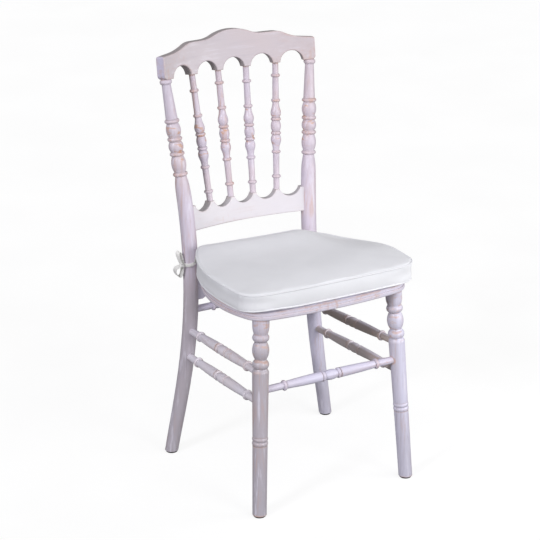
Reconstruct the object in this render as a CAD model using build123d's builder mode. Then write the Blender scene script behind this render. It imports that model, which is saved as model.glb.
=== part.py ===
"""A spindle-back dining chair with a tie-on seat cushion, built as separate pieces. Sizes in mm.

+Z is up, the chair faces -Y, and +X is on the right seen from the front.
The origin is on the floor, under the middle of the chair.
"""

import os
from math import acos, asin, atan2, cos, hypot, radians, sin, sqrt, tan

from build123d import *

os.makedirs("parts", exist_ok=True)

sides = (("left", -1), ("right", 1))

# Fits
glue_gap = 0.1
cushion_gap = 0.3
tenon_root = 20.0
trim_run = 6.0

# Seat frame: a rounded D, seen from above
seat_underside = 416.0
seat_thickness = 16.0
seat_front_y = -220.5
seat_half_width = 203.5
seat_corner_radius = 49.0
seat_front_bow = 9.5
seat_side_bow = 14.0
seat_widest_run = 131.0
seat_rear_y = 134.6
seat_rear_radius = 60.0
seat_rear_bow = 84.5
seat_rim_width = 46.0
seat_lip_height = 9.0
seat_lip_step = 1.6
seat_edge_round = 4.0
seat_step_bevel = 1.2
seat_joint_y = 67.6
panel_thickness = 6.0
panel_ledge = 10.0

# Front legs: where the axis meets the floor and the underside of the seat
front_foot_x = 177.0
front_foot_y = -217.4
front_seat_x = 155.4
front_seat_y = -186.4
front_tenon_radius = 11.0
front_tenon_length = 11.5
leg_foot_radius = 14.4
leg_shaft_radius = 15.3
leg_swell_radius = 16.8
leg_ring_radius = 17.0
leg_ball_radius = 17.2
leg_neck_radius = 11.9
leg_block_radius = 17.2
leg_collar_height = 161.4
leg_block_drop = 31.0
leg_ring_drop = 40.4
leg_ball_drop = 66.4
leg_lower_ring_drop = 95.1
leg_shaft_drop = 106.5
leg_bead_width = 8.5
leg_bead_rise = 0.9
leg_bead_groove = 0.5
leg_ring_half = 7.0
leg_lower_ring_half = 8.5
leg_ball_half = 18.0
leg_shoulder = 8.0
leg_block_flare = 15.0

# Rear posts: straight foot and straight back, joined by one long bend in a slanted plane
bend_x = 132.9
bend_y = 115.5
bend_z = 360.7
bend_radius = 1386.0
back_spread = radians(4.853)
back_rake = radians(7.818)
foot_spread = radians(9.871)
foot_rake = radians(3.342)
post_foot_radius = 14.2
post_calf_radius = 15.2
post_knee_radius = 16.0
post_seat_radius = 16.3
post_back_radius = 16.1
post_back_drop = 40.0
post_calf_height = 140.0
post_knee_height = 300.0
post_seat_height = 440.0
post_shoulder_radius = 15.6
post_ring_radius = 15.5
post_bulb_radius = 15.5
post_neck_radius = 12.0
post_throat_radius = 9.4
post_collar_radius = 12.6
post_collar_height = 10.0
post_ring_width = 8.0
post_ring_drops = (199.5, 156.2, 125.0, 87.0)
post_tenon_radius = 8.0
post_tenon_length = 22.0

# Crest rail, drawn in the leaning plane of the back, heights over its feet
crest_foot_z = 816.5
crest_sag = 32.0
crest_thickness = 22.0
crest_half_length = 183.0
crest_peak = 82.5
crest_hump_x = 44.0
crest_hump = 73.2
crest_valley_x = 71.0
crest_flat_x = 97.0
crest_shoulder_x = 118.0
crest_shoulder = 62.2
crest_sweep_x = 156.0
crest_sweep = 50.3
crest_round = 2.0
crest_ear_round = 4.0
crest_heel_round = 9.0
arch_count = 5
arch_pitch = 66.5
arch_width = 50.4
arch_height = 23.3

# Lower back rail, hung from the same plane
lower_rail_drop = 270.2
lower_rail_height = 53.2
lower_rail_thickness = 20.0
lower_rail_sag = 28.0
lower_rail_bite = 9.0
lower_rail_round = 1.5
scallop_pitch = 54.0
scallop_width = 45.0
scallop_depth = 16.5

# Back spindles
spindle_end_radius = 6.4
spindle_waist_radius = 6.9
spindle_ring_radius = 9.7
spindle_vase_radius = 10.8
spindle_neck_radius = 7.9
spindle_ring_width = 7.0
spindle_outer_ring = 108.0
spindle_inner_ring = 55.0
spindle_vase = 29.0
spindle_vase_rise = 6.0
spindle_vase_swell = 1.9
spindle_cuff = 15.0
spindle_slides = (-7.3, 0.0, -4.8, 0.0)
spindle_tenon_radius = 4.5
spindle_tenon_length = 14.0

# Stretchers: how far their ends lie below the seat, the rear one below the rear seat rail
front_stretcher_drop = 150.5
upper_stretcher_front_drop = 115.0
upper_stretcher_rear_drop = 136.8
lower_stretcher_front_drop = 176.6
lower_stretcher_rear_drop = 193.6
rear_stretcher_drop = 24.0
stretcher_end_radius = 7.5
stretcher_ring_radius = 11.0
stretcher_throat_radius = 8.0
stretcher_swell_radius = 10.4
stretcher_barrel_radius = 10.8
stretcher_ring_width = 7.0
stretcher_ring_inset = 38.0
stretcher_barrel_half = 18.0
stretcher_groove = 1.0
stretcher_tenon = 11.0

# Rear seat rail
seat_rail_thickness = 22.0
seat_rail_height = 68.0
seat_rail_arch = 36.0
seat_rail_arch_half = 124.0
seat_rail_bite = 8.0

# Dowels of the seat
dowel_radius = 3.0
dowel_half = 18.0
front_dowel_insets = (14.0, 32.0)
rear_dowel_insets = (23.0, 37.0)
rail_dowel_xs = (-70.0, 0.0, 70.0)
rail_dowel_down = 15.0
rail_dowel_up = 9.0

# Foot glides
glide_radius = 12.5
glide_height = 4.0
glide_pin_radius = 2.0
glide_pin_length = 14.0

# Cushion, a larger rounded D
cushion_front_y = -216.4
cushion_half_width = 208.0
cushion_corner_radius = 48.0
cushion_front_bow = 3.0
cushion_side_bow = 3.0
cushion_widest_run = 124.0
cushion_rear_y = 96.6
cushion_rear_radius = 36.0
cushion_rear_bow = 40.0
cushion_side_height = 41.0
cushion_crown = 7.0
cushion_edge = 3.0
cushion_draw_in = 2.0
cover_thickness = 2.0

# Ties: a tape round each post, knotted on its outer side, as routes on the left of the chair
tie_diameter = 5.0
tie_front_route = (
    (-152.2, 95.4, 457.0), (-142.0, 106.5, 441.0), (-140.4, 110.9, 431.2),
    (-159.0, 110.9, 429.0), (-164.5, 126.0, 429.0),
)
tie_front_radii = (16.0, 4.5, 19.0)
tie_back_route = (
    (-136.0, 100.0, 455.8), (-130.8, 115.6, 434.0), (-121.4, 133.7, 431.0),
    (-143.5, 154.5, 430.0), (-168.9, 137.8, 429.5), (-163.6, 121.0, 429.0),
)
tie_back_radii = (16.0, 18.6, 18.6, 18.6)
knot_place = (-168.6, 122.6, 429.0)
knot_radius = 5.6
knot_height = 12.0
knot_round = 4.0
bow_diameter = 4.0
bow_upper_route = (
    (-171.6, 120.8, 431.5), (-179.0, 124.5, 444.0), (-180.0, 128.5, 457.0),
    (-172.0, 130.5, 459.5), (-169.0, 127.5, 446.0), (-166.8, 124.6, 432.0),
)
bow_upper_radii = (8.0, 5.0, 5.0, 10.0)
bow_back_route = (
    (-171.6, 123.4, 430.5), (-179.0, 135.3, 430.0), (-179.5, 147.8, 429.0),
    (-172.0, 151.0, 431.0), (-170.5, 136.0, 437.5), (-168.2, 124.8, 433.0),
)
bow_lower_route = (
    (-172.0, 122.0, 428.5), (-185.5, 124.5, 427.5), (-188.0, 127.5, 412.5),
    (-179.0, 128.5, 402.5), (-171.0, 126.5, 408.0), (-168.6, 123.4, 425.0),
)
bow_lower_radii = (6.0, 8.0, 6.0, 6.0)

seat_top = seat_underside + seat_thickness
seat_rail_foot_z = seat_underside - seat_rail_height
front_stretcher_z = seat_underside - front_stretcher_drop
upper_stretcher_front_z = seat_underside - upper_stretcher_front_drop
upper_stretcher_rear_z = seat_underside - upper_stretcher_rear_drop
lower_stretcher_front_z = seat_underside - lower_stretcher_front_drop
lower_stretcher_rear_z = seat_underside - lower_stretcher_rear_drop
rear_stretcher_z = seat_rail_foot_z - rear_stretcher_drop


def save(piece, name):
    """Name a finished piece and write it."""
    piece.part.label = name
    export_step(piece.part, f"parts/{name}.step")


def draw(runs):
    """Add runs to the line being built: two points make a line, three an arc."""
    for run in runs:
        if len(run) == 3:
            ThreePointArc(*run)
        else:
            Line(*run)


def d_centres(shape):
    """Centres and radii of the tangent arcs of a rounded D, on its right half."""
    front_y, half_width, corner_r, front_bow, side_bow, widest_run, rear_y, rear_r, rear_bow = shape
    corner = Vector(half_width - corner_r - side_bow, front_y + corner_r + front_bow)
    rear = Vector(half_width - rear_r - rear_bow, rear_y - rear_r)
    widest_y = front_y + widest_run
    front_r = (corner.X**2 + (corner.Y - front_y) ** 2 - corner_r**2) / (2 * front_bow)
    reach = half_width - corner.X
    side_r = (reach**2 + (widest_y - corner.Y) ** 2 - corner_r**2) / (2 * side_bow)
    reach = half_width - rear.X
    flank_r = (reach**2 + (rear.Y - widest_y) ** 2 - rear_r**2) / (2 * rear_bow)
    return (
        (Vector(0, front_y + front_r), front_r),
        (corner, corner_r),
        (Vector(half_width - side_r, widest_y), side_r),
        (Vector(half_width - flank_r, widest_y), flank_r),
        (rear, rear_r),
    )


def d_outline(shape, inset=0.0):
    """Rounded D of tangent arcs, seen from above, drawn in by an inset on every side."""
    arcs = d_centres(shape)
    front, corner, side, flank, rear = [middle for middle, _ in arcs]
    ways = [(corner - front).normalized(), (corner - side).normalized(), Vector(1, 0)]
    ways += [(rear - flank).normalized(), Vector(0, 1)]
    half = []
    for (middle, radius), start, end in zip(arcs[1:], ways, ways[1:]):
        reach = radius - inset
        half.append((middle + start * reach, middle + (start + end).normalized() * reach, middle + end * reach))
    nose = front - Vector(0, arcs[0][1] - inset)
    start = half[0][0]
    end = half[-1][2]
    runs = [(flip(start), nose, start)] + half + [(end, flip(end))]
    for run in reversed(half):
        runs.append(tuple(flip(point) for point in reversed(run)))
    return runs


def d_half_width(shape, y):
    """Half width of a rounded D at a place behind its widest line."""
    middle, radius = d_centres(shape)[3]
    return middle.X + sqrt(radius**2 - (y - middle.Y) ** 2)


def flip(point):
    """The same point on the other side of the chair."""
    return Vector(-point.X, point.Y, point.Z)


def axis_plane(start, end):
    """Plane whose Y runs along the axis of a turned piece, from its start."""
    along = (end - start).normalized()
    across = along.cross(Vector(0.3, 1, 0.2)).normalized()
    return Plane(origin=start, x_dir=across, z_dir=across.cross(along))


def turning(steps):
    """Half outline of a turned piece; a step is (distance, radius, swell of the run up to it)."""
    first = steps[0]
    last = steps[-1]
    runs = [((0, first[0]), (first[1], first[0]))]
    for (d0, r0, _), (d1, r1, swell) in zip(steps, steps[1:]):
        if swell:
            run = Vector(r1 - r0, d1 - d0)
            out = Vector(run.Y, -run.X).normalized() * swell
            middle = Vector((r0 + r1) / 2, (d0 + d1) / 2) + out
            runs.append(((r0, d0), middle, (r1, d1)))
        else:
            runs.append(((r0, d0), (r1, d1)))
    runs.append(((last[1], last[0]), (0, last[0])))
    runs.append(((0, last[0]), (0, first[0])))
    return runs


def mirrored(half, length, middle_swell):
    """Steps of a piece whose second half mirrors the first, with an arc or a line between them."""
    steps = list(half)
    swell = middle_swell
    for distance, radius, next_swell in reversed(half):
        steps.append((length - distance, radius, swell))
        swell = next_swell
    return steps


def bead(start, width, base, top):
    """Two steps: the foot of a bead, and the arc over it."""
    return [(start, base, 0), (start + width, base, top - base)]


# Axes of the legs and posts


def front_axis(side, height):
    """Point on the axis of a front leg."""
    share = height / seat_underside
    x = front_foot_x + (front_seat_x - front_foot_x) * share
    y = front_foot_y + (front_seat_y - front_foot_y) * share
    return Vector(side * x, y, height)


bend = Vector(bend_x, bend_y, bend_z)
up = Vector(tan(back_spread), tan(back_rake), 1).normalized()
down = Vector(tan(foot_spread), tan(foot_rake), -1).normalized()
bend_turn = radians(180 - up.get_angle(down))
bend_tangent = bend_radius * tan(bend_turn / 2)
bend_top = bend + up * bend_tangent
bend_low = bend + down * bend_tangent
bend_middle = bend + (up + down).normalized() * hypot(bend_radius, bend_tangent)
spoke = (bend_top - bend_middle).normalized()
sweep_dir = (bend_low - bend_middle - spoke * (bend_low - bend_middle).dot(spoke)).normalized()


def post_axis(side, height):
    """Point on the axis of a rear post, and the direction of the post there, upwards."""
    if height >= bend_top.Z:
        point = bend + up * ((height - bend_z) / up.Z)
        along = up
    elif height <= bend_low.Z:
        point = bend + down * ((height - bend_z) / down.Z)
        along = down * -1
    else:
        size = hypot(spoke.Z, sweep_dir.Z)
        angle = atan2(sweep_dir.Z, spoke.Z)
        level = (height - bend_middle.Z) / (bend_radius * size)
        turns = (angle - acos(level), angle + acos(level))
        turn = min(turns, key=lambda value: abs(value - bend_turn / 2))
        point = bend_middle + (spoke * cos(turn) + sweep_dir * sin(turn)) * bend_radius
        along = spoke * sin(turn) - sweep_dir * cos(turn)
    return Vector(side * point.X, point.Y, point.Z), Vector(side * along.X, along.Y, along.Z)


post_sections = (
    (0.0, post_foot_radius),
    (post_calf_height, post_calf_radius),
    (post_knee_height, post_knee_radius),
    (post_seat_height, post_seat_radius),
    (bend_top.Z - post_back_drop, post_back_radius),
    (bend_top.Z, post_shoulder_radius),
)


def post_radius(height):
    """Radius of a rear post below its turned part."""
    for (z0, r0), (z1, r1) in zip(post_sections, post_sections[1:]):
        if height <= z1:
            return r0 + (r1 - r0) * (height - z0) / (z1 - z0)
    return post_shoulder_radius


# The leaning plane of the back: X across, Y backwards, Z up along the rake
crest_post, _ = post_axis(1, crest_foot_z)
back = Plane(
    origin=(0, crest_post.Y, crest_foot_z), x_dir=(1, 0, 0), z_dir=(0, sin(back_rake), cos(back_rake))
)
back_face = Plane(origin=back.origin, x_dir=(1, 0, 0), z_dir=back.y_dir * -1)
lower_rail_low = -lower_rail_drop - lower_rail_height
lower_rail_post, _ = post_axis(1, crest_foot_z + (lower_rail_low + lower_rail_height / 2) * cos(back_rake))
lower_rail_end = lower_rail_post.X - lower_rail_bite


def plan_radius(half_span, sag):
    """Radius of a rail bent through both posts."""
    return (half_span**2 + sag**2) / (2 * sag)


def plan_depth(x, half_span, sag):
    """How far a bent rail's middle line stands behind the posts at x."""
    radius = plan_radius(half_span, sag)
    return sag - radius + sqrt(radius**2 - x**2)


def rail_plan(half_span, sag, thickness, end_x):
    """A bent rail seen along the back, with ends square to its curve."""
    radius = plan_radius(half_span, sag)
    turn = asin(end_x / radius)
    faces = []
    for r in (radius + thickness / 2, radius - thickness / 2):
        faces.append([(r * sin(a), sag - radius + r * cos(a)) for a in (-turn, 0, turn)])
    outer, inner = faces
    return [tuple(outer), (outer[2], inner[2]), tuple(reversed(inner)), (inner[0], outer[0])]


def flowing(start, angle, end):
    """An arc that sets off at an angle and reaches its end, and the angle that it ends with."""
    run = Vector(end[0] - start[0], end[1] - start[1])
    chord = atan2(run.Y, run.X)
    bulge = run.length / 2 * tan((angle - chord) / 2)
    middle = ((start[0] + end[0]) / 2 - bulge * sin(chord), (start[1] + end[1]) / 2 + bulge * cos(chord))
    return (start, middle, end), 2 * chord - angle


def crest_elevation():
    """Outline of the crest rail before its arches: shaped top, straight below."""
    past = crest_half_length + crest_thickness
    hump_end = (crest_hump_x, crest_hump)
    hump_angle = -2 * atan2(crest_peak - crest_hump, crest_hump_x)
    valley = crest_hump + (crest_valley_x - crest_hump_x) * tan(hump_angle / 2)
    valley_end = (crest_valley_x, valley)
    flat_end = (crest_flat_x, valley)
    shoulder_end = (crest_shoulder_x, crest_shoulder)
    sweep_end = (crest_sweep_x, crest_sweep)
    valley_arc, _ = flowing(hump_end, hump_angle, valley_end)
    shoulder_arc, shoulder_angle = flowing(flat_end, 0, shoulder_end)
    sweep_arc, sweep_angle = flowing(shoulder_end, shoulder_angle, sweep_end)
    end = (past, crest_sweep + (past - crest_sweep_x) * tan(sweep_angle))
    half = [
        valley_arc, (valley_end, flat_end), shoulder_arc, sweep_arc, (sweep_end, end), (end, (past, 0))
    ]
    runs = [((-crest_hump_x, crest_hump), (0, crest_peak), hump_end)] + half
    runs.append(((past, 0), (-past, 0)))
    for run in reversed(half):
        runs.append(tuple((-px, ps) for px, ps in reversed(run)))
    return runs


def cut_planes(pitch, half_span, sag, height):
    """Upright planes square to a bent rail, one for each cut in its edge."""
    radius = plan_radius(half_span, sag)
    planes = []
    for number in range(arch_count):
        turn = asin(pitch * (number - (arch_count - 1) / 2) / radius)
        place = Vector(radius * sin(turn), sag - radius + radius * cos(turn), height)
        across = back.x_dir * cos(turn) - back.y_dir * sin(turn)
        backwards = back.x_dir * sin(turn) + back.y_dir * cos(turn)
        planes.append(Plane(origin=back.from_local_coords(place), x_dir=across, z_dir=backwards * -1))
    return planes


def edge_cut(width, depth, beyond):
    """Outline of one cut in a rail's edge: an arc, closed outside the rail."""
    half = width / 2
    return [
        ((-half, 0), (0, depth), (half, 0)),
        ((half, 0), (half, -beyond)),
        ((half, -beyond), (-half, -beyond)),
        ((-half, -beyond), (-half, 0)),
    ]


# Stretchers: both ends on the axes of what they join


def bar_ends(start, end, start_radius, end_radius):
    """Ends of a stretcher's tenons inside the two pieces that it joins."""
    along = (end - start).normalized()
    first = start + along * (start_radius - stretcher_tenon)
    second = end - along * (end_radius - stretcher_tenon)
    return first, second


def leg_radius(height):
    """Radius of a front leg's shaft."""
    share = (height - leg_collar_height) / (seat_underside - leg_shaft_drop - leg_collar_height)
    return leg_shaft_radius + (leg_swell_radius - leg_shaft_radius) * share


stretchers = {
    "front_stretcher": bar_ends(
        front_axis(-1, front_stretcher_z),
        front_axis(1, front_stretcher_z),
        leg_radius(front_stretcher_z),
        leg_radius(front_stretcher_z),
    ),
    "rear_stretcher": bar_ends(
        post_axis(-1, rear_stretcher_z)[0],
        post_axis(1, rear_stretcher_z)[0],
        post_radius(rear_stretcher_z),
        post_radius(rear_stretcher_z),
    ),
}
for side_name, side in sides:
    for level, front_z, rear_z in (
        ("upper", upper_stretcher_front_z, upper_stretcher_rear_z),
        ("lower", lower_stretcher_front_z, lower_stretcher_rear_z),
    ):
        stretchers[f"side_stretcher_{level}_{side_name}"] = bar_ends(
            front_axis(side, front_z),
            post_axis(side, rear_z)[0],
            leg_radius(front_z),
            post_radius(rear_z),
        )


def sockets(leg, side_name):
    """The tenon ends that sit in one leg, each with the direction out of the leg."""
    bars = [f"side_stretcher_{level}_{side_name}" for level in ("upper", "lower")]
    found = []
    for name in bars:
        first, second = stretchers[name]
        if leg == "front":
            found.append((first, second - first))
        else:
            found.append((second, first - second))
    first, second = stretchers[f"{leg}_stretcher"]
    if side_name == "left":
        found.append((first, second - first))
    else:
        found.append((second, first - second))
    return found


for name, (first, second) in stretchers.items():
    length = (second - first).length
    middle = length / 2
    ring_start = stretcher_tenon + stretcher_ring_inset - stretcher_ring_width / 2
    cuff_start = middle - stretcher_barrel_half - stretcher_ring_width / 2
    half_steps = [(0, stretcher_end_radius, 0)]
    half_steps += bead(ring_start, stretcher_ring_width, stretcher_end_radius, stretcher_ring_radius)
    half_steps += [(ring_start + stretcher_ring_width + stretcher_groove, stretcher_throat_radius, 0)]
    half_steps += [(cuff_start - stretcher_groove, stretcher_swell_radius, 0.5)]
    half_steps += [(cuff_start, stretcher_throat_radius, 0)]
    half_steps += bead(cuff_start, stretcher_ring_width, stretcher_throat_radius, stretcher_ring_radius)[1:]
    with BuildPart() as bar:
        with BuildSketch(axis_plane(first, second)):
            with BuildLine():
                draw(
                    turning(
                        mirrored(half_steps, length, stretcher_barrel_radius - stretcher_throat_radius)
                    )
                )
            make_face()
        revolve(axis=Axis(first, second - first))
    save(bar, name)

# Front legs
for side_name, side in sides:
    foot = front_axis(side, 0)
    knee = front_axis(side, seat_underside)
    leg_length = (knee - foot).length
    block_start = leg_length - leg_block_drop
    ring = leg_length - leg_ring_drop
    ball = leg_length - leg_ball_drop
    lower_ring = leg_length - leg_lower_ring_drop
    shaft_end = leg_length - leg_shaft_drop
    groove = leg_shaft_radius - leg_bead_rise
    crown = leg_shaft_radius + leg_bead_rise
    collar_half = leg_bead_width + 2 * leg_bead_groove
    leg_steps = [(-trim_run, leg_foot_radius, 0), (leg_collar_height - collar_half, leg_shaft_radius, 0)]
    leg_steps += bead(leg_collar_height - leg_bead_groove - leg_bead_width, leg_bead_width, groove, crown)
    leg_steps += bead(leg_collar_height + leg_bead_groove, leg_bead_width, groove, crown)
    leg_steps += [(leg_collar_height + collar_half, leg_shaft_radius, 0)]
    leg_steps += [(shaft_end - leg_shoulder, leg_swell_radius, 0), (shaft_end, leg_neck_radius + 3, 0.9)]
    leg_steps += [(lower_ring - leg_lower_ring_half, leg_neck_radius + 1.5, 0)]
    rise = leg_ring_radius - leg_neck_radius
    leg_steps += [(lower_ring + leg_lower_ring_half, leg_neck_radius + 0.5, rise - 1)]
    leg_steps += [(ball - leg_ball_half, leg_neck_radius - 0.2, 0)]
    leg_steps += [(ball + leg_ball_half, leg_neck_radius, leg_ball_radius - leg_neck_radius)]
    leg_steps += [(ring - leg_ring_half, leg_neck_radius + 1, 0)]
    leg_steps += [(ring + leg_ring_half, leg_neck_radius + 2.2, rise - 1.6)]
    leg_steps += [(block_start, leg_neck_radius + 2.4, 0)]
    leg_steps += [(block_start + leg_block_flare, leg_block_radius - 0.2, 0.7)]
    leg_steps += [(leg_length + trim_run, leg_block_radius, 0)]
    with BuildPart() as leg:
        with BuildSketch(axis_plane(foot, knee)):
            with BuildLine():
                draw(turning(leg_steps))
            make_face()
        revolve(axis=Axis(foot, knee - foot))
        split(bisect_by=Plane.XY.offset(seat_underside), keep=Keep.BOTTOM)
        split(bisect_by=Plane.XY.offset(glide_height), keep=Keep.TOP)
        with BuildSketch(Plane(origin=front_axis(side, seat_underside - tenon_root), z_dir=knee - foot)):
            Circle(front_tenon_radius)
        extrude(amount=tenon_root + front_tenon_length)
        for end, outwards in sockets("front", side_name):
            with BuildSketch(Plane(origin=end, z_dir=outwards)):
                Circle(stretcher_end_radius + glue_gap)
            extrude(amount=3 * leg_swell_radius, mode=Mode.SUBTRACT)
        with BuildSketch(Plane(origin=front_axis(side, glide_height))):
            Circle(glide_pin_radius + glue_gap)
        extrude(amount=glide_pin_length + glue_gap, mode=Mode.SUBTRACT)
    save(leg, f"front_leg_{side_name}")

# Rear posts
rail_y = post_axis(1, (seat_rail_foot_z + seat_underside) / 2)[0].Y
rail_end = post_axis(1, (seat_rail_foot_z + seat_underside) / 2)[0].X - seat_rail_bite
for side_name, side in sides:
    start, along = post_axis(side, bend_top.Z)
    crest_joint, _ = post_axis(side, crest_foot_z)
    turned_length = (crest_joint - start).length
    post_steps = [(0, post_shoulder_radius, 0)]
    half_ring = post_ring_width / 2
    ring_starts = [turned_length - drop - half_ring for drop in post_ring_drops]
    post_steps += [(ring_starts[0] - 1, post_neck_radius - 0.2, 0.8)]
    for number, ring_start in enumerate(ring_starts):
        if number:
            bulb_start = post_steps[-1][0] + 1
            post_steps += bead(
                bulb_start, ring_start - 1 - bulb_start, post_neck_radius, post_bulb_radius
            )
        post_steps += bead(ring_start, post_ring_width, post_neck_radius, post_ring_radius)
    collar_start = turned_length - post_collar_height
    post_steps += [(ring_starts[-1] + post_ring_width + 1, post_neck_radius + 0.4, 0)]
    post_steps += [(collar_start - 1, post_throat_radius, 0)]
    post_steps += bead(collar_start, post_collar_height, post_throat_radius + 0.3, post_collar_radius)
    post_steps += [(turned_length + trim_run, post_throat_radius + 0.3, 0)]
    with BuildPart() as post:
        for height, radius in post_sections:
            place, way = post_axis(side, height)
            if height == 0:
                place = place - way * trim_run
            with BuildSketch(Plane(origin=place, x_dir=way.cross(Vector(0, 1, 0)), z_dir=way)):
                Circle(radius)
        loft()
        with BuildSketch(axis_plane(start, crest_joint)):
            with BuildLine():
                draw(turning(post_steps))
            make_face()
        revolve(axis=Axis(start, along))
        split(bisect_by=back, keep=Keep.BOTTOM)
        split(bisect_by=Plane.XY.offset(glide_height), keep=Keep.TOP)
        with BuildSketch(Plane(origin=crest_joint - along * tenon_root, z_dir=along)):
            Circle(post_tenon_radius)
        extrude(amount=tenon_root + post_tenon_length)
        for end, outwards in sockets("rear", side_name):
            with BuildSketch(Plane(origin=end, z_dir=outwards)):
                Circle(stretcher_end_radius + glue_gap)
            extrude(amount=3 * post_seat_radius, mode=Mode.SUBTRACT)
        with BuildSketch(back.offset(lower_rail_low - glue_gap)):
            with BuildLine():
                draw(
                    rail_plan(
                        lower_rail_post.X,
                        lower_rail_sag,
                        lower_rail_thickness + 2 * glue_gap,
                        lower_rail_end + glue_gap,
                    )
                )
            make_face()
        extrude(amount=lower_rail_height + 2 * glue_gap, mode=Mode.SUBTRACT)
        with BuildSketch(Plane(origin=(0, rail_y, seat_rail_foot_z - glue_gap))):
            Rectangle(2 * (rail_end + glue_gap), seat_rail_thickness + 2 * glue_gap)
        extrude(amount=seat_underside - seat_rail_foot_z + 2 * glue_gap, mode=Mode.SUBTRACT)
        with BuildSketch(Plane(origin=post_axis(side, glide_height)[0])):
            Circle(glide_pin_radius + glue_gap)
        extrude(amount=glide_pin_length + glue_gap, mode=Mode.SUBTRACT)
    save(post, f"rear_post_{side_name}")

# Back spindles, numbered from the left
spindle_axes = []
for number in range(arch_count - 1):
    place = number - (arch_count - 2) / 2
    top_x = place * arch_pitch
    low_x = place * scallop_pitch
    top_n = plan_depth(top_x, crest_post.X, crest_sag)
    low_n = plan_depth(low_x, lower_rail_post.X, lower_rail_sag)
    low = back.from_local_coords(Vector(low_x, low_n, -lower_rail_drop))
    top = back.from_local_coords(Vector(top_x, top_n, 0))
    spindle_axes.append((low, top))
for number, (low, top) in enumerate(spindle_axes, start=1):
    slide = spindle_slides[(number - 1) % len(spindle_slides)]
    along = (top - low).normalized()
    shift = along * slide
    length = (top - low).length
    middle = length / 2
    half_ring = spindle_ring_width / 2
    half_steps = [(-trim_run - abs(slide), spindle_end_radius, 0)]
    half_steps += bead(
        middle - spindle_outer_ring - half_ring, spindle_ring_width, spindle_end_radius, spindle_ring_radius
    )
    half_steps += bead(
        middle - spindle_inner_ring - half_ring, spindle_ring_width, spindle_waist_radius, spindle_ring_radius
    )
    cuff_start = middle - spindle_cuff - half_ring
    cuff_rise = spindle_vase_radius - spindle_neck_radius
    half_steps += [(middle - spindle_vase - spindle_vase_rise, spindle_vase_radius - 0.8, -0.7)]
    half_steps += [(cuff_start, spindle_neck_radius, spindle_vase_swell)]
    half_steps += bead(cuff_start, spindle_ring_width, spindle_neck_radius, spindle_vase_radius)[1:]
    with BuildPart() as spindle:
        with BuildSketch(axis_plane(low + shift, top + shift)):
            with BuildLine():
                draw(turning(mirrored(half_steps, length, cuff_rise)))
            make_face()
        revolve(axis=Axis(low, along))
        split(bisect_by=back.offset(-glue_gap), keep=Keep.BOTTOM)
        split(bisect_by=back.offset(glue_gap - lower_rail_drop), keep=Keep.TOP)
        with BuildSketch(Plane(origin=low - along * spindle_tenon_length, z_dir=along)):
            Circle(spindle_tenon_radius)
        extrude(amount=length + 2 * spindle_tenon_length)
    save(spindle, f"back_spindle_{number}")

# Crest rail
with BuildPart() as crest:
    with BuildSketch(back):
        with BuildLine():
            draw(rail_plan(crest_post.X, crest_sag, crest_thickness, crest_half_length))
        make_face()
    extrude(amount=crest_peak + crest_thickness)
    with BuildSketch(back_face):
        with BuildLine():
            draw(crest_elevation())
        make_face()
    extrude(amount=crest_half_length, both=True, mode=Mode.INTERSECT)
    for plane in cut_planes(arch_pitch, crest_post.X, crest_sag, 0):
        with BuildSketch(plane):
            with BuildLine():
                draw(edge_cut(arch_width, arch_height, trim_run))
            make_face()
        extrude(amount=crest_thickness, both=True, mode=Mode.SUBTRACT)
    ends = crest.faces().sort_by(Axis.X)
    heels = [ends[place].edges().sort_by(Axis.Z)[0] for place in (0, -1)]
    fillet(heels, radius=crest_heel_round)
    ends = crest.faces().sort_by(Axis.X)
    ears = [ends[place].edges().sort_by(Axis.Z)[-1] for place in (0, -1)]
    fillet(ears, radius=crest_ear_round)
    broad = crest.faces().sort_by(SortBy.AREA)[-2:]
    fillet(broad[0].edges() + broad[1].edges(), radius=crest_round)
    for side_name, side in sides:
        joint, along = post_axis(side, crest_foot_z)
        with BuildSketch(Plane(origin=joint - along * tenon_root, z_dir=along)):
            Circle(post_tenon_radius + glue_gap)
        extrude(amount=tenon_root + post_tenon_length + glue_gap, mode=Mode.SUBTRACT)
    for low, top in spindle_axes:
        along = (top - low).normalized()
        with BuildSketch(Plane(origin=top - along * tenon_root, z_dir=along)):
            Circle(spindle_tenon_radius + glue_gap)
        extrude(amount=tenon_root + spindle_tenon_length + glue_gap, mode=Mode.SUBTRACT)
save(crest, "crest_rail")

# Lower back rail
with BuildPart() as lower_rail:
    with BuildSketch(back.offset(lower_rail_low)):
        with BuildLine():
            draw(rail_plan(lower_rail_post.X, lower_rail_sag, lower_rail_thickness, lower_rail_end))
        make_face()
    extrude(amount=lower_rail_height)
    for plane in cut_planes(scallop_pitch, lower_rail_post.X, lower_rail_sag, -lower_rail_drop):
        with BuildSketch(plane):
            with BuildLine():
                draw(edge_cut(scallop_width, -scallop_depth, -trim_run))
            make_face()
        extrude(amount=lower_rail_thickness, both=True, mode=Mode.SUBTRACT)
    broad = lower_rail.faces().sort_by(SortBy.AREA)[-2:]
    fillet(broad[0].edges() + broad[1].edges(), radius=lower_rail_round)
    for low, top in spindle_axes:
        along = (top - low).normalized()
        with BuildSketch(Plane(origin=low + along * tenon_root, z_dir=along * -1)):
            Circle(spindle_tenon_radius + glue_gap)
        extrude(amount=tenon_root + spindle_tenon_length + glue_gap, mode=Mode.SUBTRACT)
save(lower_rail, "lower_back_rail")

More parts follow.
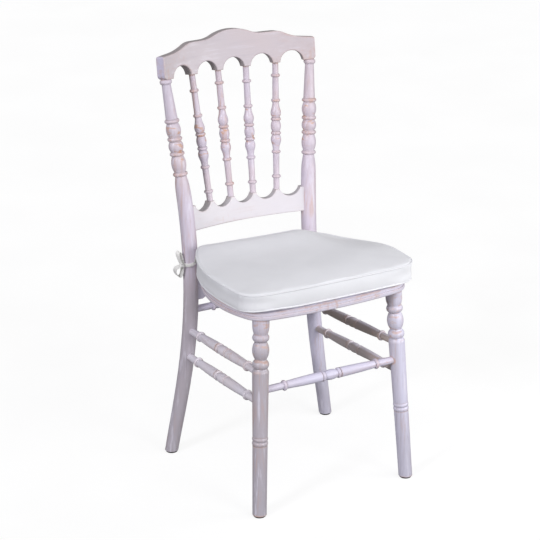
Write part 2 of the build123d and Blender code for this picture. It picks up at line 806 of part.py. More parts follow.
# Rear seat rail
with BuildPart() as seat_rail:
    with BuildSketch(Plane.XZ.offset(-rail_y)):
        with BuildLine():
            draw(
                [
                    ((-rail_end, seat_rail_foot_z), (-seat_rail_arch_half, seat_rail_foot_z)),
                    (
                        (-seat_rail_arch_half, seat_rail_foot_z),
                        (0, seat_rail_foot_z + seat_rail_arch),
                        (seat_rail_arch_half, seat_rail_foot_z),
                    ),
                    ((seat_rail_arch_half, seat_rail_foot_z), (rail_end, seat_rail_foot_z)),
                    ((rail_end, seat_rail_foot_z), (rail_end, seat_underside)),
                    ((rail_end, seat_underside), (-rail_end, seat_underside)),
                    ((-rail_end, seat_underside), (-rail_end, seat_rail_foot_z)),
                ]
            )
        make_face()
    extrude(amount=seat_rail_thickness / 2, both=True)
    with BuildSketch(Plane.XY.offset(seat_underside)):
        with Locations(*[(x, rail_y) for x in rail_dowel_xs]):
            Circle(dowel_radius + glue_gap)
    extrude(amount=-rail_dowel_down - glue_gap, mode=Mode.SUBTRACT)
save(seat_rail, "rear_seat_rail")

# Seat frame: one stepped rim, cut into three pieces
seat_shape = (
    seat_front_y, seat_half_width, seat_corner_radius, seat_front_bow, seat_side_bow,
    seat_widest_run, seat_rear_y, seat_rear_radius, seat_rear_bow,
)
dowel_z = seat_underside + (seat_thickness - panel_thickness) / 2
front_dowel_ys = [seat_front_y + inset for inset in front_dowel_insets]
rear_dowel_xs = [d_half_width(seat_shape, seat_joint_y) - inset for inset in rear_dowel_insets]


def seat_rim():
    """The whole rim of the seat, with its sockets and dowel holes."""
    with BuildPart() as rim:
        with BuildSketch(Plane.XY.offset(seat_underside)):
            with BuildLine():
                draw(d_outline(seat_shape))
            make_face()
        extrude(amount=seat_lip_height)
        lip_edges = rim.edges().filter_by(Plane.XY).group_by(Axis.Z)
        fillet(lip_edges[0], radius=seat_edge_round)
        chamfer(lip_edges[-1], length=seat_step_bevel)
        with BuildSketch(Plane.XY.offset(seat_underside + seat_lip_height)):
            with BuildLine():
                draw(d_outline(seat_shape, seat_lip_step + seat_step_bevel))
            make_face()
        extrude(amount=seat_thickness - seat_lip_height)
        with BuildSketch(Plane.XY.offset(seat_underside)):
            with BuildLine():
                draw(d_outline(seat_shape, seat_rim_width))
            make_face()
        extrude(amount=seat_thickness, mode=Mode.SUBTRACT)
        with BuildSketch(Plane.XY.offset(seat_top - panel_thickness)):
            with BuildLine():
                draw(d_outline(seat_shape, seat_rim_width - panel_ledge))
            make_face()
        extrude(amount=panel_thickness, mode=Mode.SUBTRACT)
        for _, side in sides:
            knee = front_axis(side, seat_underside)
            foot = front_axis(side, 0)
            with BuildSketch(Plane(origin=front_axis(side, seat_underside - tenon_root), z_dir=knee - foot)):
                Circle(front_tenon_radius + glue_gap)
            extrude(amount=tenon_root + front_tenon_length + glue_gap, mode=Mode.SUBTRACT)
        with BuildSketch(Plane.YZ):
            with Locations(*[(y, dowel_z) for y in front_dowel_ys]):
                Circle(dowel_radius + glue_gap)
        extrude(amount=dowel_half + glue_gap, both=True, mode=Mode.SUBTRACT)
        with BuildSketch(Plane.XZ.offset(-seat_joint_y)):
            with Locations(*[(side * x, dowel_z) for _, side in sides for x in rear_dowel_xs]):
                Circle(dowel_radius + glue_gap)
        extrude(amount=dowel_half + glue_gap, both=True, mode=Mode.SUBTRACT)
        with BuildSketch(Plane.XY.offset(seat_underside)):
            with Locations(*[(x, rail_y) for x in rail_dowel_xs]):
                Circle(dowel_radius + glue_gap)
        extrude(amount=rail_dowel_up + glue_gap, mode=Mode.SUBTRACT)
    return rim.part


rim_part = seat_rim()
joint_plane = Plane.XZ.offset(-seat_joint_y)
for side_name, side in sides:
    with BuildPart() as frame_side:
        add(rim_part)
        split(bisect_by=joint_plane, keep=Keep.TOP)
        split(bisect_by=Plane.YZ, keep=Keep.TOP if side > 0 else Keep.BOTTOM)
    save(frame_side, f"seat_frame_{side_name}")
with BuildPart() as frame_rear:
    add(rim_part)
    split(bisect_by=joint_plane, keep=Keep.BOTTOM)
save(frame_rear, "seat_frame_rear")

with BuildPart() as panel:
    with BuildSketch(Plane.XY.offset(seat_top - panel_thickness)):
        with BuildLine():
            draw(d_outline(seat_shape, seat_rim_width - panel_ledge + glue_gap))
        make_face()
    extrude(amount=panel_thickness)
save(panel, "seat_panel")

with BuildPart() as dowels:
    with BuildSketch(Plane.YZ):
        with Locations(*[(y, dowel_z) for y in front_dowel_ys]):
            Circle(dowel_radius)
    extrude(amount=dowel_half, both=True)
    with BuildSketch(joint_plane):
        with Locations(*[(side * x, dowel_z) for _, side in sides for x in rear_dowel_xs]):
            Circle(dowel_radius)
    extrude(amount=dowel_half, both=True)
    with BuildSketch(Plane.XY.offset(seat_underside - rail_dowel_down)):
        with Locations(*[(x, rail_y) for x in rail_dowel_xs]):
            Circle(dowel_radius)
    extrude(amount=rail_dowel_down + rail_dowel_up)
save(dowels, "seat_dowels")

# Foot glides
for leg_name, axis in (("front", front_axis), ("rear", lambda side, z: post_axis(side, z)[0])):
    for side_name, side in sides:
        place = axis(side, glide_height)
        with BuildPart() as glide:
            with BuildSketch(Plane(origin=(place.X, place.Y, 0))):
                Circle(glide_radius)
            extrude(amount=glide_height)
            chamfer(glide.edges().group_by(Axis.Z)[0], length=0.8)
            with BuildSketch(Plane(origin=place)):
                Circle(glide_pin_radius)
            extrude(amount=glide_pin_length)
        save(glide, f"foot_glide_{leg_name}_{side_name}")

# Cushion: drawn-in sides between two sewn edges, and a crowned top
cushion_low = seat_top + cushion_gap
cushion_shape = (
    cushion_front_y, cushion_half_width, cushion_corner_radius, cushion_front_bow, cushion_side_bow,
    cushion_widest_run, cushion_rear_y, cushion_rear_radius, cushion_rear_bow,
)
cushion_middle_y = (cushion_front_y + cushion_rear_y) / 2


def cushion_form(inset):
    """The cushion's outer form, drawn in by an inset all round."""
    low = cushion_low + inset
    edge_low = cushion_low + cushion_edge
    edge_high = cushion_low + cushion_side_height
    crown = edge_high + cushion_crown - inset
    lift = cushion_crown - inset
    sections = (
        (low, cushion_edge, 1.0),
        (edge_low, 0.0, 1.0),
        ((edge_low + edge_high) / 2, cushion_draw_in, 1.0),
        (edge_high - inset, 0.0, 1.0),
        (crown - lift * 0.62, cushion_edge + 1, 1.0),
        (crown - lift * 0.25, cushion_edge + 1, 0.84),
        (crown - lift * 0.06, cushion_edge + 1, 0.55),
        (crown, cushion_edge + 1, 0.2),
    )
    with BuildPart() as form:
        for height, draw_in, share in sections:
            runs = d_outline(cushion_shape, inset + draw_in)
            with BuildSketch(Plane.XY.offset(height)):
                with BuildLine():
                    draw([[narrow(point, share) for point in run] for run in runs])
                make_face()
        loft(ruled=True)
    return form.part


def narrow(point, share):
    """A point drawn towards the middle of the cushion."""
    return Vector(point.X * share, cushion_middle_y + (point.Y - cushion_middle_y) * share)


with BuildPart() as cover:
    add(cushion_form(0.0))
    add(cushion_form(cover_thickness), mode=Mode.SUBTRACT)
save(cover, "cushion_cover")

with BuildPart() as foam:
    add(cushion_form(cover_thickness + cushion_gap))
save(foam, "cushion_foam")

# Ties
for side_name, side in sides:
    place = Vector(-side * knot_place[0], knot_place[1], knot_place[2] - knot_height / 2)
    with BuildPart() as knot:
        with BuildSketch(Plane(origin=place)):
            Circle(knot_radius)
        extrude(amount=knot_height)
        fillet(knot.edges().filter_by(GeomType.CIRCLE), radius=knot_round)
    save(knot, f"tie_knot_{side_name}")
    raised_route = bow_upper_route if side < 0 else bow_back_route
    for name, diameter, routes in (
        ("tie", tie_diameter, ((tie_front_route, tie_front_radii), (tie_back_route, tie_back_radii))),
        ("tie_bow", bow_diameter, ((raised_route, bow_upper_radii), (bow_lower_route, bow_lower_radii))),
    ):
        with BuildPart() as strands:
            for route, radii in routes:
                points = [(-side * x, y, z) for x, y, z in route]
                with BuildLine() as path:
                    FilletPolyline(*points, radius=radii)
                strand = path.wire()
                with BuildSketch(Plane(origin=strand @ 0, z_dir=strand % 0)):
                    Circle(diameter / 2)
                sweep(path=strand)
            add(knot.part, mode=Mode.SUBTRACT)
        save(strands, f"{name}_{side_name}")
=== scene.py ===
"""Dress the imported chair: limed wood, a white boxed cushion and its tape ties. Lengths in metres."""

from math import atan2, hypot, radians, sin

import bmesh
import bpy
from mathutils import Matrix, Vector


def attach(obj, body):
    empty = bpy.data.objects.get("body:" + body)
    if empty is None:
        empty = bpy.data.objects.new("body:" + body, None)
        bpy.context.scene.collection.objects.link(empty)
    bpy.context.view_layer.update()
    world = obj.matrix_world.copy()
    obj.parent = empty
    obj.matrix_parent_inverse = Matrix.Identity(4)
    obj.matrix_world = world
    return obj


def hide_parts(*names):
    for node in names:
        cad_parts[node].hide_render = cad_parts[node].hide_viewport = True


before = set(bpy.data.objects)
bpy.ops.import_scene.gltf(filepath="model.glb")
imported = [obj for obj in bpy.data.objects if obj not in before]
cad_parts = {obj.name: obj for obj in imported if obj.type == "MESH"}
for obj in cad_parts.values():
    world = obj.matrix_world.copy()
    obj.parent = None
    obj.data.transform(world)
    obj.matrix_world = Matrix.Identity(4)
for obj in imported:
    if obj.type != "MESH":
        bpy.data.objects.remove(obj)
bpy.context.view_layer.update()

scene = bpy.context.scene
mm = 0.001
sides = (("left", -1), ("right", 1))

# Camera at the photograph's viewing angle
camera = bpy.data.objects.new("camera", bpy.data.cameras.new("camera"))
camera.location = (-1.8424, -3.1563, 1.7992)
camera.rotation_euler = (radians(69.420), 0, radians(-29.898))
camera.data.lens = 125.11
camera.data.sensor_width = 36
scene.collection.objects.link(camera)
scene.camera = camera

# Light: a room that is brighter in front, a soft lamp close by on the right, two far ones, a fill behind
room_front = (-0.30, -0.88, 0.33)
room_span = (-0.3, 0.9)
room_light = (0.20, 0.66)
floor_radius = 9.0
floor_tone = 0.20
floor_mottle = 0.01
floor_glow = 0.84
near_lamp_place = (1.00, -0.75, 0.60)
near_lamp_aim = (0.0, -0.05, 0.45)
near_lamp_size = 0.6
near_lamp_power = 5.5
far_lamps = (
    ("front_lamp", (0.22, -0.90, 0.37), 1.00, radians(25), (1.0, 1.0, 1.0)),
    ("left_lamp", (-0.83, -0.30, 0.47), 1.35, radians(12), (0.95, 0.94, 1.0)),
)
back_light_way = (0.47, 0.80, -0.36)
back_light = 0.9

# Ties, as routes on the left of the chair, in mm
tie_width = 7.8
tie_thickness = 1.6
tie_front_route = (
    (-147.0, 92.0, 463.5), (-151.0, 92.5, 452.0), (-144.0, 109.5, 433.5),
    (-159.0, 110.9, 429.0), (-164.5, 126.0, 429.0),
)
tie_back_route = (
    (-136.0, 100.0, 455.8), (-130.8, 115.6, 434.0), (-121.4, 133.7, 431.0),
    (-143.5, 154.5, 430.0), (-168.9, 137.8, 429.5), (-163.6, 121.0, 429.0),
)
bow_upper_route = (
    (-171.6, 120.8, 431.5), (-176.0, 124.5, 444.0), (-177.0, 128.5, 456.5),
    (-170.5, 130.5, 458.5), (-168.0, 127.5, 446.0), (-166.8, 124.6, 432.0),
)
bow_back_route = (
    (-171.6, 123.4, 430.5), (-179.0, 135.3, 430.0), (-179.5, 147.8, 429.0),
    (-172.0, 151.0, 431.0), (-170.5, 136.0, 437.5), (-168.2, 124.8, 433.0),
)
bow_lower_route = (
    (-172.0, 122.0, 428.5), (-184.0, 124.5, 427.0), (-184.5, 127.5, 414.5),
    (-174.0, 128.5, 401.5), (-167.5, 126.5, 408.0), (-168.0, 123.4, 425.0),
)
bow_width = 9.5
bow_thickness = 1.2
bow_across = {-1: (-0.40, 0.85, 0.35), 1: (1.0, 0.0, 0.15)}
tie_tops = {-1: 470.0, 1: 446.0}
tape_sides = 14
tape_lean = 0.25
post_place = (-145.6, 131.0, 430.0)
knot_place = (-168.6, 122.6, 429.0)
knot_size = (5.0, 5.2, 6.2)
knot_tilt = radians(24)
knot_folds = ((0.09, 5, 2), (0.05, 11, -3))

# Cushion, in mm: its seams as a name, a height and how far the welt stands proud
cushion_low = 432.3
cushion_top = 480.3
seams = (("bottom", 436.0, 0.2), ("top", 471.5, 0.9))
seam_grip = 2.6
seam_middle = -60.0
seam_step = 4
welt_radius = 1.7
voxel = 5.0
swell_limit = 6.5
cloth_pressure = 4.0
cloth_steps = 20

# Cushion's uneven corners, in mm: each form has an amount and where it starts and ends in plan
droop_depth = 22.0
droop_in_x = (80.0, 165.0)
droop_in_y = (-120.0, 55.0)
ear_place = (-150.0, 90.0)
ear_rise = 2.5
ear_reach = 48.0
edge_rise = 3.0
edge_in_x = (40.0, -100.0)
edge_in_y = (-10.0, 80.0)
ridge_rise = 3.5
ridge_in_x = (110.0, 50.0)
ridge_front_in_y = (-40.0, 50.0)
ridge_back_in_y = (95.0, 50.0)
lifted_place = (-160.0, -195.0)
lifted_rise = 4.5
lifted_reach = 85.0
pinch_below = 9.5
pinch_lost_above = 5.5
pinch_lost_over = (0.66, 0.88)
pinch_reach = 65.0
right_pull = 2.5
right_pull_in_x = (110.0, 200.0)


def link(name, mesh):
    """A new object at the origin that holds a mesh."""
    thing = bpy.data.objects.new(name, mesh)
    scene.collection.objects.link(thing)
    return thing


def set_order(items, key):
    """Put the points or faces of a bmesh in an order that is the same each run."""
    for number, item in enumerate(sorted(items, key=key)):
        item.index = number
    items.sort()


def finish_mesh(bm, name):
    """Close a bmesh, point its faces outwards and make it a smooth object."""
    bmesh.ops.remove_doubles(bm, verts=bm.verts, dist=1e-6)
    bmesh.ops.recalc_face_normals(bm, faces=bm.faces)
    set_order(bm.verts, lambda vert: tuple(vert.co))
    set_order(bm.faces, lambda face: sorted(vert.index for vert in face.verts))
    mesh = bpy.data.meshes.new(name)
    bm.to_mesh(mesh)
    bm.free()
    mesh.shade_smooth()
    return link(name, mesh)


def put(tree, kind, inputs=(), **settings):
    """Add a shader node, set its settings, and give its inputs a value or a link each."""
    made = tree.nodes.new(kind)
    for key, value in settings.items():
        setattr(made, key, value)
    for key, value in dict(inputs).items():
        socket = made.inputs[key]
        if isinstance(value, bpy.types.NodeSocket):
            tree.links.new(value, socket)
        else:
            socket.default_value = value
    return made


def blank(name):
    """A new material: its node tree, its shader and its object coordinates."""
    material = bpy.data.materials.new(name)
    material.use_nodes = True
    tree = material.node_tree
    shader = tree.nodes["Principled BSDF"]
    place = put(tree, "ShaderNodeTexCoord").outputs["Object"]
    return material, tree, shader, place


def between(tree, amount, first, second):
    """Mix two colours by an amount."""
    mix = put(tree, "ShaderNodeMix", data_type="RGBA")
    for socket, value in ((mix.inputs[0], amount), (mix.inputs[6], first), (mix.inputs[7], second)):
        if isinstance(value, bpy.types.NodeSocket):
            tree.links.new(value, socket)
        else:
            socket.default_value = (*value, 1)
    return mix.outputs[2]


def combine(tree, operation, first, second):
    """One sum of two values, kept between 0 and 1."""
    inputs = {0: first, 1: second}
    return put(tree, "ShaderNodeMath", inputs, operation=operation, use_clamp=True).outputs[0]


def product(tree, first, second):
    """Two values multiplied, kept between 0 and 1."""
    return combine(tree, "MULTIPLY", first, second)


def ranged(tree, value, low, high, start=0.0, end=1.0):
    """Stretch the span from low to high over the span from start to end, smoothly."""
    inputs = {0: value, 1: low, 2: high, 3: start, 4: end}
    return put(tree, "ShaderNodeMapRange", inputs, interpolation_type="SMOOTHSTEP").outputs[0]


def noise(tree, place, scale, detail=3.0, roughness=0.55):
    """A noise value."""
    inputs = {"Vector": place, "Scale": scale, "Detail": detail, "Roughness": roughness}
    return put(tree, "ShaderNodeTexNoise", inputs).outputs["Fac"]


def along_grain(tree, place, grain, run):
    """Coordinates that are scaled along the grain only, which is one axis of the chair, as 0, 1 or 2."""
    scale = [1.0, 1.0, 1.0]
    scale[grain] = run
    return put(tree, "ShaderNodeMapping", {"Vector": place, "Scale": scale}).outputs["Vector"]


def part_of(tree, vector, axis):
    """One part of a vector."""
    return put(tree, "ShaderNodeSeparateXYZ", {"Vector": vector}).outputs[axis]


def size_of(tree, value):
    """A value without its sign."""
    return put(tree, "ShaderNodeMath", {0: value}, operation="ABSOLUTE").outputs[0]


def openness(tree, reach, inside):
    """How open a place is within a reach: low in a hollow or, seen from inside, at an edge."""
    settings = {"samples": 6, "inside": inside, "only_local": True}
    return put(tree, "ShaderNodeAmbientOcclusion", {"Distance": reach}, **settings).outputs["AO"]


# Limed wood: each wash is a cool tone, a warm tone, how far the grain shows and how far it is worn
washes = {
    "crest": ((0.590, 0.530, 0.570), (0.600, 0.525, 0.555), 0.5, 0.35),
    "rail": ((0.720, 0.695, 0.740), (0.720, 0.690, 0.725), 0.15, 0.2),
    "back": ((0.650, 0.585, 0.690), (0.650, 0.565, 0.630), 1.1, 1.0),
    "seat": ((0.695, 0.670, 0.790), (0.695, 0.645, 0.735), 0.8, 0.55),
    "leg": ((0.650, 0.620, 0.750), (0.650, 0.600, 0.700), 1.5, 0.65),
    "base": ((0.690, 0.665, 0.820), (0.680, 0.640, 0.760), 0.9, 0.55),
    "bar": ((0.790, 0.755, 0.840), (0.780, 0.725, 0.780), 0.9, 0.6),
}
wash_scale = 9.0
wash_span = (0.35, 0.65)

# Painted shade and light below the seat: darker on the left, where the seat shades the legs, lighter and
# bluer on the right, where the lamp falls; and darker towards the feet
shade_and_light_tones = ((0.445, 0.405, 0.440), (0.715, 0.705, 0.875))
shade_and_light_span = (-0.05, 0.05)
shade_and_light_heights = (0.425, 0.33)
shade_and_light_share = 0.75
foot_tone = (0.420, 0.400, 0.455)
foot_heights = (0.24, 0.03)
foot_share = 0.5

# Grain, as streaks and finer fibres: a layer is the span of the noise that it covers, a share and a tone
grain_run = 0.055
streak_scale = 130.0
fibre_scale = 420.0
wash_grey = (0.450, 0.415, 0.475)
wash_white = (0.800, 0.770, 0.870)
streak_layer = ((0.52, 0.72), 0.36, wash_grey)
fibre_layer = ((0.55, 0.75), 0.30, wash_grey)
pale_layer = ((0.47, 0.32), 0.40, wash_white)
wood_roughness = (0.30, 0.46)
streak_relief = 0.6
fibre_relief = 0.4
relief_depth = 0.0006
relief_strength = 0.16

# Sawn edges of the rails, darker: a thinner wash, with painted shade under the crest's arches; the crest's
# ends with painted light, lighter and bluer; the inner sides below the seat with painted shade, darker and
# browner
sawn_wash_and_shade = (0.330, 0.300, 0.290)
sawn_wash_and_shade_shares = {"crest": 0.6, "rail": 0.3}
cut_slopes = (0.72, 0.42)
cut_end = 0.178
cut_fade = 0.004
crest_end_light = (0.640, 0.610, 0.790)
crest_end_light_fade = 0.002
crest_end_light_share = 0.8
under_seat_shade = (0.440, 0.365, 0.310)
under_seat_shade_shares = {"leg": 0.25, "bar": 0.85}
under_seat_shade_span = (-0.03, -0.11)
under_seat_shade_heights = (0.10, 0.29)

# Wear down to the wood: on edges, along the grain, in chips, and in bands round the turned parts
rubbed_wood = (0.600, 0.350, 0.245)
patch_run = 0.25
patch_scale = 22.0
edge_reach = 0.004
edge_span = (0.94, 0.66)
edge_patches = (0.34, 0.56, 0.2, 0.9)
bare_ring_height = 0.575
bare_ring_fade = 0.01
worn_patches = (0.46, 0.66)
worn_streaks = (0.46, 0.64)
worn_share = 0.5
chip_run = 1.8
chip_scale = 75.0
chip_span = (0.56, 0.70)
chip_patches = (0.50, 0.62, 0.0, 0.6)
turned_spans = {"back": (0.632, 0.745), "leg": (0.30, 0.42)}
turned_fade = 0.02
band_run = 3.0
band_scale = 48.0
band_span = (0.55, 0.68, 0.0, 0.8)
low_wear_heights = (0.45, 0.47)
low_wear = 0.5

# Painted shade: dark lines in the hollows of the wood, where shade falls
hollow_shade = (0.300, 0.240, 0.190)
hollow_shade_reach = 0.007
hollow_shade_span = (0.80, 0.3)
hollow_shade_share = 0.75


def sawn_and_shaded_faces(tree, place, share):
    """How far a face of a bent rail belongs to its sawn edges, which took less of the wash and carry
    painted shade under the crest's arches.
    """
    normal = put(tree, "ShaderNodeTexCoord").outputs["Normal"]
    sawn = ranged(tree, size_of(tree, part_of(tree, normal, "Y")), *cut_slopes)
    reach = size_of(tree, part_of(tree, place, "X"))
    return product(tree, sawn, ranged(tree, reach, cut_end, cut_end - cut_fade, 0.0, share))


def under_seat_shaded_faces(tree, place, share):
    """How far a face below the seat looks to the chair's middle, where the seat's shade is painted as
    darker, browner wood.
    """
    normal = put(tree, "ShaderNodeTexCoord").outputs["Normal"]
    inputs = {0: part_of(tree, normal, "X"), 1: part_of(tree, place, "X")}
    outward = put(tree, "ShaderNodeMath", inputs, operation="MULTIPLY").outputs[0]
    high = ranged(tree, part_of(tree, place, "Z"), *under_seat_shade_heights, 0.0, share)
    return product(tree, ranged(tree, outward, *under_seat_shade_span), high)


def wash_colour(tree, place, group, streak, fibre):
    """Colour of one group's wash, with painted shade and light on some faces, before any of it is rubbed
    off.
    """
    cool, warm, grained, _ = washes[group]
    across = part_of(tree, place, "X")
    height = part_of(tree, place, "Z")
    colour = between(tree, ranged(tree, noise(tree, place, wash_scale, 2.0), *wash_span), cool, warm)
    if group in ("back", "leg"):
        # Painted shade on the left below the seat, painted light on the right, then darker towards the
        # feet
        side = between(tree, ranged(tree, across, *shade_and_light_span), *shade_and_light_tones)
        colour = between(tree, ranged(tree, height, *shade_and_light_heights, 0.0, shade_and_light_share), colour, side)
        colour = between(tree, ranged(tree, height, *foot_heights, 0.0, foot_share), colour, foot_tone)
    for value, (span, share, tone) in ((streak, streak_layer), (fibre, fibre_layer), (streak, pale_layer)):
        colour = between(tree, ranged(tree, value, *span, 0.0, share * grained), colour, tone)
    if group in sawn_wash_and_shade_shares:
        # Sawn edges darker: a thinner wash, and painted shade under the crest's arches
        colour = between(tree, sawn_and_shaded_faces(tree, place, sawn_wash_and_shade_shares[group]), colour, sawn_wash_and_shade)
        # Painted light: the crest's end faces lighter and bluer
        end = ranged(tree, size_of(tree, across), cut_end, cut_end + crest_end_light_fade, 0.0, crest_end_light_share)
        colour = between(tree, end, colour, crest_end_light)
    if group in under_seat_shade_shares:
        # Painted shade on the inner faces below the seat
        colour = between(tree, under_seat_shaded_faces(tree, place, under_seat_shade_shares[group]), colour, under_seat_shade)
    return colour


def wash_worn(tree, place, group, grain, streak):
    """How far one group's wash is rubbed off."""
    wear = washes[group][3]
    height = part_of(tree, place, "Z")
    patch = noise(tree, along_grain(tree, place, grain, patch_run), patch_scale, 3.0, 0.6)
    edge = ranged(tree, openness(tree, edge_reach, True), *edge_span)
    if group == "back":
        ringed = ranged(tree, height, bare_ring_height - bare_ring_fade, bare_ring_height)
        edge = product(tree, edge, ringed)
    edge = product(tree, edge, ranged(tree, patch, *edge_patches))
    if group in turned_spans:
        low, high = turned_spans[group]
        above = ranged(tree, height, low, low + turned_fade)
        below = ranged(tree, height, high, high - turned_fade)
        band = noise(tree, along_grain(tree, place, grain, band_run), band_scale, 2.0, 0.5)
        chipped = product(tree, ranged(tree, band, *band_span), product(tree, above, below))
    else:
        chip = noise(tree, along_grain(tree, place, grain, chip_run), chip_scale, 2.0, 0.5)
        chipped = product(tree, ranged(tree, chip, *chip_span), ranged(tree, patch, *chip_patches))
    worn = product(tree, ranged(tree, patch, *worn_patches), ranged(tree, streak, *worn_streaks))
    rubbed = combine(tree, "ADD", edge, chipped)
    bare = product(tree, combine(tree, "ADD", product(tree, worn, worn_share), rubbed), wear)
    if group == "back":
        bare = product(tree, bare, ranged(tree, height, *low_wear_heights, low_wear, 1.0))
    return bare


def limed_wood(group, grain):
    """Limed wood with one group's wash, its grain along one axis of the chair, as 0, 1 or 2."""
    material, tree, shader, place = blank(f"limed_{group}_{'xyz'[grain]}")
    run = along_grain(tree, place, grain, grain_run)
    streak = noise(tree, run, streak_scale, 4.0, 0.6)
    fibre = noise(tree, run, fibre_scale, 3.0, 0.6)
    colour = wash_colour(tree, place, group, streak, fibre)
    colour = between(tree, wash_worn(tree, place, group, grain, streak), colour, rubbed_wood)
    # Painted shade in the hollows, found by how open each place is
    hollow = ranged(tree, openness(tree, hollow_shade_reach, False), *hollow_shade_span, 0.0, hollow_shade_share)
    tree.links.new(between(tree, hollow, colour, hollow_shade), shader.inputs["Base Color"])
    tree.links.new(ranged(tree, streak, 0.3, 0.7, *wood_roughness), shader.inputs["Roughness"])
    relief = combine(tree, "ADD", product(tree, streak, streak_relief), product(tree, fibre, fibre_relief))
    inputs = {"Strength": relief_strength, "Distance": relief_depth, "Height": relief}
    bump = put(tree, "ShaderNodeBump", inputs)
    tree.links.new(bump.outputs["Normal"], shader.inputs["Normal"])
    shader.inputs["Specular IOR Level"].default_value = 0.5
    return material


# Plastic and cotton, with the cotton's thread and relief in metres
glide_black = (0.022, 0.019, 0.018)
glide_scuff = (0.075, 0.066, 0.062)
cushion_tones = ((0.835, 0.840, 0.875), (0.790, 0.795, 0.830))
cushion_thread = 0.0016
cushion_crease = 0.05
tape_tones = ((0.840, 0.835, 0.815), (0.770, 0.760, 0.735))
tape_thread = 0.0009
tape_crease = 0.1
crease_depth = 0.004
thread_depth = 0.0002
thread_strength = 0.12


def glide_plastic():
    """Dark moulded plastic, a little scuffed."""
    material, tree, shader, place = blank("glide_plastic")
    scuff = noise(tree, place, 300.0, 4.0, 0.7)
    colour = between(tree, ranged(tree, scuff, 0.5, 0.7), glide_black, glide_scuff)
    tree.links.new(colour, shader.inputs["Base Color"])
    tree.links.new(ranged(tree, scuff, 0.3, 0.7, 0.4, 0.62), shader.inputs["Roughness"])
    return material


def woven_cotton(name, tones, thread, crease):
    """Plain woven cotton: crossing threads, soft creases and a faint sheen."""
    material, tree, shader, place = blank(name)
    light, dark = tones
    weave = []
    for axis in ("X", "Y", "Z"):
        inputs = {"Vector": place, "Scale": 1.0 / thread, "Distortion": 0.4, "Detail": 1.0}
        wave = put(tree, "ShaderNodeTexWave", inputs, bands_direction=axis, wave_profile="SIN")
        weave.append(wave.outputs["Fac"])
    threads = product(tree, product(tree, weave[0], weave[1]), weave[2])
    cloudy = noise(tree, place, 14.0, 3.0, 0.55)
    slub = noise(tree, place, 900.0, 2.0, 0.6)
    colour = between(tree, ranged(tree, cloudy, 0.35, 0.65, 0.0, 0.6), light, dark)
    colour = between(tree, ranged(tree, slub, 0.5, 0.8, 0.0, 0.4), colour, dark)
    tree.links.new(colour, shader.inputs["Base Color"])
    soft = put(tree, "ShaderNodeBump", {"Strength": crease, "Distance": crease_depth, "Height": cloudy})
    inputs = {"Strength": thread_strength, "Distance": thread_depth, "Height": threads}
    bump = put(tree, "ShaderNodeBump", {**inputs, "Normal": soft.outputs["Normal"]})
    tree.links.new(bump.outputs["Normal"], shader.inputs["Normal"])
    shader.inputs["Roughness"].default_value = 0.72
    shader.inputs["Sheen Weight"].default_value = 0.15
    shader.inputs["Sheen Roughness"].default_value = 0.5
    shader.inputs["Specular IOR Level"].default_value = 0.25
    return material


plastic = glide_plastic()
cushion_cotton = woven_cotton("cushion_cotton", cushion_tones, cushion_thread, cushion_crease)
tape_cotton = woven_cotton("tape_cotton", tape_tones, tape_thread, tape_crease)


def grain_of(name):
    """Axis along which the grain of a wooden piece runs."""
    if name.startswith("side_stretcher") or name in ("seat_frame_left", "seat_frame_right"):
        return 1
    if name.endswith(("rail", "stretcher", "rear", "panel", "dowels")):
        return 0
    return 2


def group_of(name):
    """Which wash a wooden piece has."""
    if name == "crest_rail":
        return "crest"
    if name == "lower_back_rail":
        return "rail"
    if name.startswith(("rear_post", "back_spindle")):
        return "back"
    if name.startswith("side_stretcher"):
        return "bar"
    if name.startswith("front_leg"):
        return "leg"
    return "seat" if name.startswith(("seat_frame", "seat_panel", "seat_dowels")) else "base"


wood = {}
for name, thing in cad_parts.items():
    thing.data.materials.clear()
    if name.startswith("foot_glide"):
        thing.data.materials.append(plastic)
    elif not name.startswith(("cushion", "tie")):
        kind = (group_of(name), grain_of(name))
        if kind not in wood:
            wood[kind] = limed_wood(*kind)
        thing.data.materials.append(wood[kind])


# Making the ties


def route_points(route, side):
    """Points of the smooth line that a route steers, on one side of the chair, below the cushion's top."""
    curve = bpy.data.curves.new("route", "CURVE")
    curve.dimensions = "3D"
    curve.resolution_u = 10
    spline = curve.splines.new("NURBS")
    spline.points.add(len(route) - 1)
    for point, (x, y, z) in zip(spline.points, route):
        point.co = (-side * x * mm, y * mm, min(z, tie_tops[side]) * mm, 1)
    spline.order_u = 3
    spline.use_endpoint_u = True
    guide = link("route", curve)
    mesh = bpy.data.meshes.new_from_object(guide)
    points = [vertex.co.copy() for vertex in mesh.vertices]
    bpy.data.objects.remove(guide)
    bpy.data.meshes.remove(mesh)
    return points


def frames_along(points, width_way):
    """A frame at each point: X across the tape, Y out of its face, Z along it."""
    frames = []
    for number, point in enumerate(points):
        ahead = points[min(number + 1, len(points) - 1)]
        behind = points[max(number - 1, 0)]
        along = (ahead - behind).normalized()
        across = width_way(point, along)
        across = (across - along * across.dot(along)).normalized()
        out = along.cross(across)
        turn = Matrix((across, out, along)).transposed().to_4x4()
        frames.append(Matrix.Translation(point) @ turn)
    return frames


